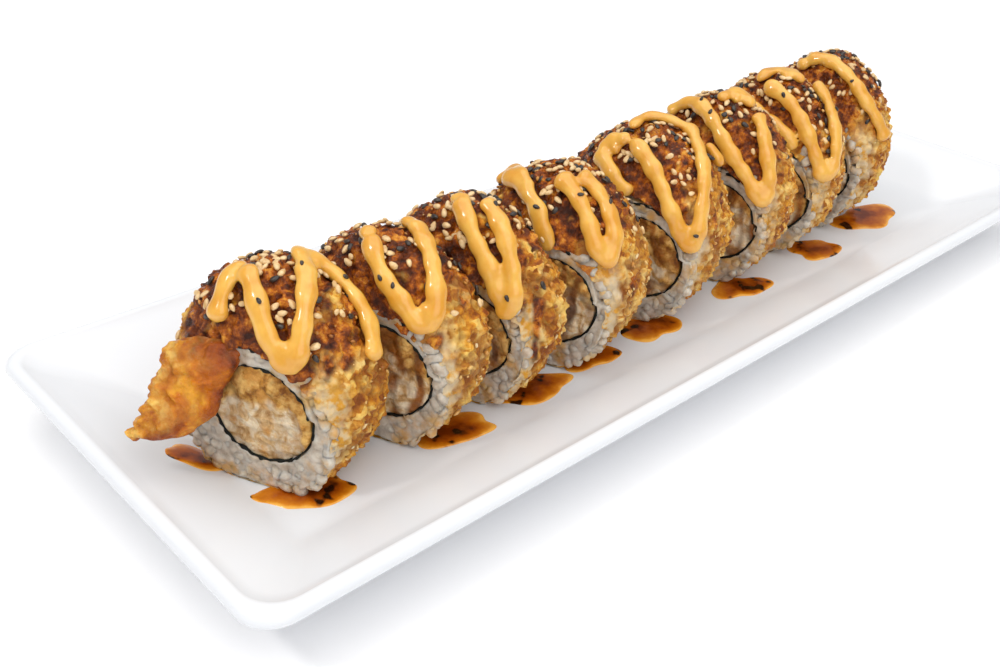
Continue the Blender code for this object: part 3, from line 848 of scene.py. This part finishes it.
def make_rice_core(piece, material):
    """The pale mass of the rice at both cuts, a ring of grain-sized bumps from nori to crust."""
    angle, reach = round_grid(RICE_GRID, 0, 1)
    sides = []
    for sign in (-1, 1):
        across, up = piece.outline(angle, np.full_like(angle, 0.985 * sign))
        left, rise = across - piece.filling, up - FILLING_HEIGHT
        outer = np.hypot(left, rise)
        turn = turned(np.arctan2(rise, left))
        inner = NORI_RADIUS + 0.3 * MM + widening(turn / NORI_RING_TURN)
        scale = (inner + (outer - inner) * reach) / outer
        flat = np.stack([left * scale, rise * scale, np.full_like(angle, sign * 9 * MM)], -1)
        bumps = 0.85 * lumps(flat, 3.1 * MM, piece.index * 2.1, 1.3, -0.15) - 0.15
        droop = np.where(reach > 0.9, (reach - 0.9) * 14, 0)
        tail = turn + 2 * math.pi - NORI_RING_TURN
        sheet = NORI_RADIUS + NORI_RISE + tail_rise(limit(tail / NORI_TAIL_TURN))
        above = limit((outer * scale - sheet) / MM) * (np.abs(tail - 1.1) < 1.25)
        depth = sign * (piece.half_thickness + 0.2 * MM + (bumps - droop - 2.6 * above) * MM)
        sides.append(piece.world(depth, piece.filling + left * scale, FILLING_HEIGHT + rise * scale))
    points = np.concatenate([sides[0][::-1], sides[1]])
    grid_piece(f"{piece.name}_rice_core", points, OPEN_ENDS, material, "crust_and_rice")


def add_grains(piece, shapes, template, draw):
    """Whole grains of rice lying in both cuts, clear of the nori."""
    points, faces = template
    grain = np.sign(points) * np.abs(points) ** np.array((0.8, 0.95, 0.95))
    grain[:, 1] += 0.18 * (points[:, 0] ** 2 - 0.4)
    placed = []
    for sign in (-1, 1):
        made = 0
        for _ in range(GRAIN_TRIES):
            if made == GRAINS_PER_CUT:
                break
            across, up = piece.outline(draw.uniform(0, 2 * math.pi), sign * 1.0)
            reach = math.sqrt(draw.uniform(0.18, 0.99))
            left = piece.filling + (across - piece.filling) * reach
            rise = FILLING_HEIGHT + (up - FILLING_HEIGHT) * reach
            spot = np.array((left, rise, sign * 40 * MM))
            if (rise < 1.6 * MM or not in_rice(left - piece.filling, rise - FILLING_HEIGHT)
                    or too_near(spot, placed, GRAIN_SPACING)):
                continue
            placed.append(spot)
            made += 1
            axes = random_axes(piece.along * sign, 0.5, draw)
            length = draw.uniform(2.3, 3.1) * MM
            wide = draw.uniform(1.5, 1.9) * MM
            depth = sign * (piece.half_thickness - draw.uniform(0.85, 1.45) * MM)
            middle = piece.world(depth, left, rise)
            body = (grain * np.array((length, wide, wide * 0.92))) @ axes + middle
            body[:, 2] = np.maximum(body[:, 2], PLATE_FLOOR + 0.15 * MM)
            shapes.add(body, faces)


def strand_line(piece, controls):
    """Even points along a smooth curve through a strand's control points, with their normals."""
    spots = []
    last = len(controls) - 1
    controls = [np.array(control, float) for control in controls]
    for index in range(last):
        before, start = controls[max(index - 1, 0)], controls[index]
        end, after = controls[index + 1], controls[min(index + 2, last)]
        gap = piece.surface(math.radians(end[0]), end[1]) - piece.surface(math.radians(start[0]), start[1])
        count = max(2, round(float(np.linalg.norm(gap)) / STRAND_STEP))
        for part in range(count + (index == last - 1)):
            at = part / count
            bend = (2 * before - 5 * start + 4 * end - after) * at
            bend = bend + (3 * start - 3 * end + after - before) * at * at
            spots.append(start + ((end - before) + bend) * at / 2)
    spots = np.array(spots)
    angle, share = np.radians(spots[:, 0]), spots[:, 1]
    return piece.surface(angle, share), piece.normal(angle, share)


def add_drizzle(piece, shapes, template, draw):
    """The slice's strands and crest loops, and the places on them where seeds lie."""
    perches = []
    for controls in DRIZZLE[piece.index]:
        perches += add_strand(piece, controls, 1, shapes, template, draw)
    for controls in CREST_LOOPS[piece.index]:
        perches += add_strand(piece, controls, LOOP_SLIMNESS, shapes, template, draw)
    return perches


def add_strand(piece, controls, slimness, shapes, template, draw):
    """One strand: thick, soft-ended, filled in at its turns and resting on the crust."""
    line, out = strand_line(piece, controls)
    count = len(line)
    along = unit(np.gradient(line, axis=0))
    smoothed(line, SMOOTHING_ROUNDS)
    smoothed(out, SMOOTHING_ROUNDS)
    across = unit(np.cross(out, along))
    travel = np.arange(count)
    wobble = 1 + 0.10 * np.sin(travel * 0.62 + draw.uniform(0, 6))
    wobble = wobble + 0.10 * np.sin(travel * 0.23 + draw.uniform(0, 6))
    ends = np.minimum(travel, count - 1 - travel)
    blob = 1 + 0.12 * np.exp(-((ends * 0.6 - 2.4) / 1.6) ** 2)
    cap = np.sqrt(np.clip(1 - (1 - limit(ends / 4.0)) ** 2, 0.02, 1))
    radius = DRIZZLE_RADIUS * 1.12 * slimness * wobble * cap * blob
    centre = line + out * (DRIZZLE_RADIUS * 0.75)
    ring = circle(STRAND_AROUND)[None, :, None]
    size = radius[:, None, None]
    wide = across[:, None] * (np.cos(ring) * size * STRAND_WIDTH)
    tall = out[:, None] * (np.sin(ring) * size * STRAND_HEIGHT)
    tube = centre[:, None] + wide + tall
    index, quads = ring_quads(count, STRAND_AROUND)
    caps = []
    for row in (index[0], index[-1][::-1]):
        caps.extend([[row[0], row[step + 1], row[step]] for step in range(1, STRAND_AROUND - 1)])
    shapes.add(tube.reshape(-1, 3), np.concatenate([quads[:, [0, 1, 2]], quads[:, [0, 2, 3]], caps]))
    fill_turns(shapes, template, centre, out, along)
    perches = []
    for spot in draw.sample(range(4, count - 4), count // SEED_EVERY):
        aside = draw.uniform(-0.7, 0.7)
        push = (out[spot] * (0.8 - 0.5 * aside ** 2) + across[spot] * aside) * radius[spot]
        perches.append((centre[spot] + push, out[spot]))
    return perches


def fill_turns(shapes, template, centre, out, along):
    """Pools of drizzle where a strand turns back on itself."""
    points, faces = template
    inside = range(TURN_REACH, len(centre) - TURN_REACH)
    bends = {spot: float(along[spot - TURN_REACH] @ along[spot + TURN_REACH]) for spot in inside}
    for spot, bend in bends.items():
        nearby = [bends[other] for other in range(spot - 4, spot + 5) if other in bends]
        if bend > 0.1 or bend > min(nearby):
            continue
        inner = (centre[spot - TURN_REACH] + centre[spot + TURN_REACH]) / 2
        inward = unit(inner - centre[spot])
        up = unit(out[spot] - inward * (inward @ out[spot]))
        axes = np.array((inward, up, np.cross(inward, up)))
        for share, length, width in TURN_POOLS:
            size = np.array((length, POOL_HALF_HEIGHT, width)) * MM
            middle = centre[spot] * (1 - share) + inner * share - out[spot] * 0.2 * MM
            shapes.add((points * size) @ axes + middle, faces)


def flowed_mesh(data):
    """The drizzle's mesh fused into one skin and smoothed."""
    helper = new_object("helper", data)
    remesh = helper.modifiers.new("remesh", "REMESH")
    remesh.mode = "VOXEL"
    remesh.voxel_size = DRIZZLE_VOXEL
    smooth = helper.modifiers.new("smooth", "SMOOTH")
    smooth.factor = 0.5
    smooth.iterations = SMOOTHING_ROUNDS
    bpy.context.view_layer.update()
    result = bpy.data.meshes.new_from_object(helper.evaluated_get(bpy.context.evaluated_depsgraph_get()))
    bpy.data.objects.remove(helper, do_unlink=True)
    return result


def add_seeds(piece, perches, white, black, template, draw):
    """Sesame seeds in clumps over the crest, lying flat in all directions, and a few on the drizzle."""
    points, faces = template
    drop = points.copy()
    drop[:, 1] *= 1 - 0.28 * points[:, 0]
    placed = []
    for number in range(SEED_TRIES):
        angle = draw.gauss(0.02, 0.42)
        share = draw.uniform(-0.9, 0.9)
        spot = piece.surface(angle, share)
        up = piece.normal(angle, share)
        middle = spot + up * draw.uniform(0.1, 0.9) * MM
        perched = number < len(perches)
        if perched:
            middle, up = perches[number]
            spot = middle
        elif abs(angle) > 1.15 or noise.noise(Vector(spot / SEED_CLUMP)) < draw.uniform(-0.35, 0.05):
            continue
        if too_near(spot, placed, SEED_SPACING):
            continue
        placed.append(spot)
        axes = random_axes(up, 0.35, draw)
        size = draw.uniform(0.8, 1.05) * (0.75 if perched else 1)
        target = black if number % 3 == 0 or perched else white
        target.add((drop * (np.array(SEED_HALF_SIZE) * size * MM)) @ axes + middle, faces)


def make_tail(piece, material):
    """The fried shrimp tail: a thick ragged fan that leaves the nearest cut and ends in a point."""
    around, rows = TAIL_GRID
    controls = np.array(TAIL_SECTIONS)
    stations = np.linspace(0, len(controls) - 1, rows)
    places = np.arange(len(controls))
    sections = np.stack([np.interp(stations, places, column) for column in controls.T], -1)
    smoothed(sections, 14)
    sections *= MM
    left = piece.world(-piece.half_thickness - sections[:, 0], sections[:, 1], sections[:, 2])
    right = piece.world(-piece.half_thickness - sections[:, 3], sections[:, 4], sections[:, 5])
    angle = circle(around)[None, :, None]
    middle, half = (left + right)[:, None] / 2, (left - right)[:, None] / 2
    down = np.gradient((left + right) / 2, axis=0)
    deep = (unit(np.cross(half[:, 0], down)) * sections[:, 6:])[:, None]
    round_edge = signed_power(np.sin(angle), 0.8)
    points = middle + half * np.cos(angle) + deep * round_edge
    out = unit(np.cos(angle) * unit(half) + round_edge * unit(deep))
    crumbs = 0.9 * lumps(points, 3.0 * MM, 5, 1.2, -0.2) + 0.5 * lumps(points, 1.5 * MM, 8, 1.2, -0.2)
    folds = field(points, 6 * MM, 3)
    edge = np.cos(angle[..., 0])
    crumby = np.clip(0.35 + 1.2 * limit(edge) + field(points, 5 * MM, 12), 0.15, 1)
    creases = 1 - np.abs(field(points * np.array((1.6, 1.6, 0.8)), 7 * MM, 31)) * 3
    lift = (crumbs - 0.45) * crumby * 1.6 + folds * 0.8 + np.clip(creases, -0.6, 1) * 0.55
    points = points + out * (lift * MM)[..., None]
    grid_piece("shrimp_tail_fried", points, BOTH_ENDS, material, "shrimp_tail", "shrimp_tail",
               crumby=limit(0.25 + 0.85 * edge + 0.9 * folds), height=crumbs - 0.4)


def plate_height(x, y):
    """How high the plate's upper side lies at each point."""
    inset = np.minimum(PLATE_HALF_LENGTH - np.abs(x), PLATE_HALF_WIDTH - np.abs(y))
    crease = SLOPE_WIDTH - CREASE_WIDTH
    slope = (PLATE_HEIGHT - PLATE_FLOOR - CREASE_RISE) / crease
    steep = PLATE_FLOOR + CREASE_RISE + (crease - inset) * slope
    shallow = PLATE_FLOOR + CREASE_RISE * limit((SLOPE_WIDTH - inset) / CREASE_WIDTH)
    return np.where(inset < crease, steep, shallow)


def make_puddles(material):
    """Flat irregular pools of sauce with rounded edges, each on the plate's own slope."""
    angle = circle(PUDDLE_POINTS)
    depth = np.repeat([depth for _, _, depth in PUDDLE_PROFILE], PUDDLE_POINTS)
    for number, (x, y, half_length, half_width, turn) in enumerate(PUDDLES, 1):
        draw = random.Random(299 + number)
        edge = np.ones(PUDDLE_POINTS)
        for wave in (2, 3, 4, 6):
            edge += 0.24 / wave * np.sin(wave * angle + draw.uniform(0, ANY_TURN))
        turn = math.radians(turn)
        rows = []
        for reach, rise, _ in PUDDLE_PROFILE:
            ahead = half_length * MM * edge * reach * np.cos(angle)
            aside = half_width * MM * edge * reach * np.sin(angle)
            place_x = x * MM + ahead * math.cos(turn) - aside * math.sin(turn)
            place_y = y * MM + ahead * math.sin(turn) + aside * math.cos(turn)
            height = plate_height(place_x, place_y) + (0.03 + rise) * MM
            rows.append(np.stack([place_x, place_y, height], -1))
        grid_piece(f"sauce_puddle_{number}", np.array(rows), FIRST_END, material, "crust_and_rice",
                   depth=depth)


def make_roll():
    """All eight slices with what is in and on them."""
    crust, core = crust_material(), rice_material("rice_core")
    nori, shrimp = nori_material(), shrimp_material()
    flakes, grains, drizzle, white, black = (Shapes() for _ in range(5))
    shades = []
    shard = unit_shape(bmesh.ops.create_icosphere, subdivisions=1)
    bead = unit_shape(bmesh.ops.create_uvsphere, u_segments=8, v_segments=6)
    blob = unit_shape(bmesh.ops.create_uvsphere, u_segments=16, v_segments=12)
    for index, sizes in enumerate(SLICES):
        piece = Slice(index, sizes)
        draw = random.Random(900 + index)
        make_crust(piece, crust)
        add_flakes(piece, flakes, shades, shard, draw)
        make_rice_core(piece, core)
        make_nori(piece, nori)
        make_filling(piece, shrimp)
        add_grains(piece, grains, bead, draw)
        perches = add_drizzle(piece, drizzle, blob, draw)
        add_seeds(piece, perches, white, black, bead, draw)
        if index == 0:
            make_tail(piece, tail_material())
    pale = seed_material("sesame_white", (0.58, 0.35, 0.13), (0.82, 0.61, 0.33))
    dark = seed_material("sesame_black", (0.010, 0.006, 0.004), (0.040, 0.024, 0.015))
    add_piece("crust_flakes", flakes.mesh(), flake_material(), "crust_and_rice", shade=np.array(shades))
    for name, data, material in (
        ("rice_grains", grains.mesh(), rice_material("rice_grain")),
        ("drizzle", flowed_mesh(drizzle.mesh()), drizzle_material()),
        ("sesame_seeds_white", white.mesh(), pale),
        ("sesame_seeds_black", black.mesh(), dark),
    ):
        add_piece(name, data, material, "crust_and_rice")


def make_stage():
    """A plain pale floor."""
    bpy.ops.mesh.primitive_plane_add(size=8, location=(0, 0, 0))
    floor = bpy.context.object
    floor.name = "floor"
    nodes = Nodes("floor_pale")
    nodes.set(Base_Color=(0.97, 0.97, 0.98, 1), Roughness=0.9, Specular_IOR_Level=0.1)
    floor.data.materials.append(nodes.material)


def add_light(name, place, target, size, power, colour):
    """A square area light that shines on a target."""
    light = bpy.data.lights.new(name, "AREA")
    light.size = size
    light.energy = power
    light.color = colour
    obj = new_object(name, light)
    obj.location = place
    obj.rotation_euler = (Vector(target) - Vector(place)).to_track_quat("-Z", "Y").to_euler()


def make_lights():
    """A large soft light above, a small one from the left for highlights, a front fill and a pale sky."""
    world = bpy.data.worlds.new("pale_sky")
    world.use_nodes = True
    sky = world.node_tree.nodes["Background"]
    sky.inputs["Color"].default_value = (0.98, 0.985, 1.0, 1)
    sky.inputs["Strength"].default_value = 0.40
    bpy.context.scene.world = world
    add_light("key", (0.12, -0.05, 1.3), (0.05, 0.02, 0), 2.0, 19.0, (1.0, 0.985, 0.96))
    add_light("spark", (-0.75, 0.05, 0.85), (-0.02, 0, 0.04), 0.12, 2.6, (1.0, 0.98, 0.95))
    add_light("front_fill", (-0.35, -1.0, 0.75), (0, 0, 0.02), 1.0, 5.0, (1.0, 0.99, 0.98))


def make_camera():
    """The photograph's view, from the fitted place, pitch, yaw and roll."""
    camera = bpy.data.cameras.new("camera")
    camera.sensor_width = SENSOR_WIDTH
    camera.lens = FOCAL_PIXELS * SENSOR_WIDTH / IMAGE_WIDTH
    camera.clip_start = 0.01
    obj = new_object("camera", camera)
    tilt = Matrix.Rotation(math.pi / 2 - CAMERA_PITCH, 4, "X") @ Matrix.Rotation(CAMERA_ROLL, 4, "Z")
    obj.matrix_world = Matrix.Translation(CAMERA_PLACE) @ Matrix.Rotation(-CAMERA_YAW, 4, "Z") @ tilt
    bpy.context.scene.camera = obj


def main():
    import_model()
    make_plate()
    make_roll()
    make_puddles(puddle_material())
    make_stage()
    make_lights()
    make_camera()
    bpy.context.scene.view_settings.view_transform = "Standard"


main()
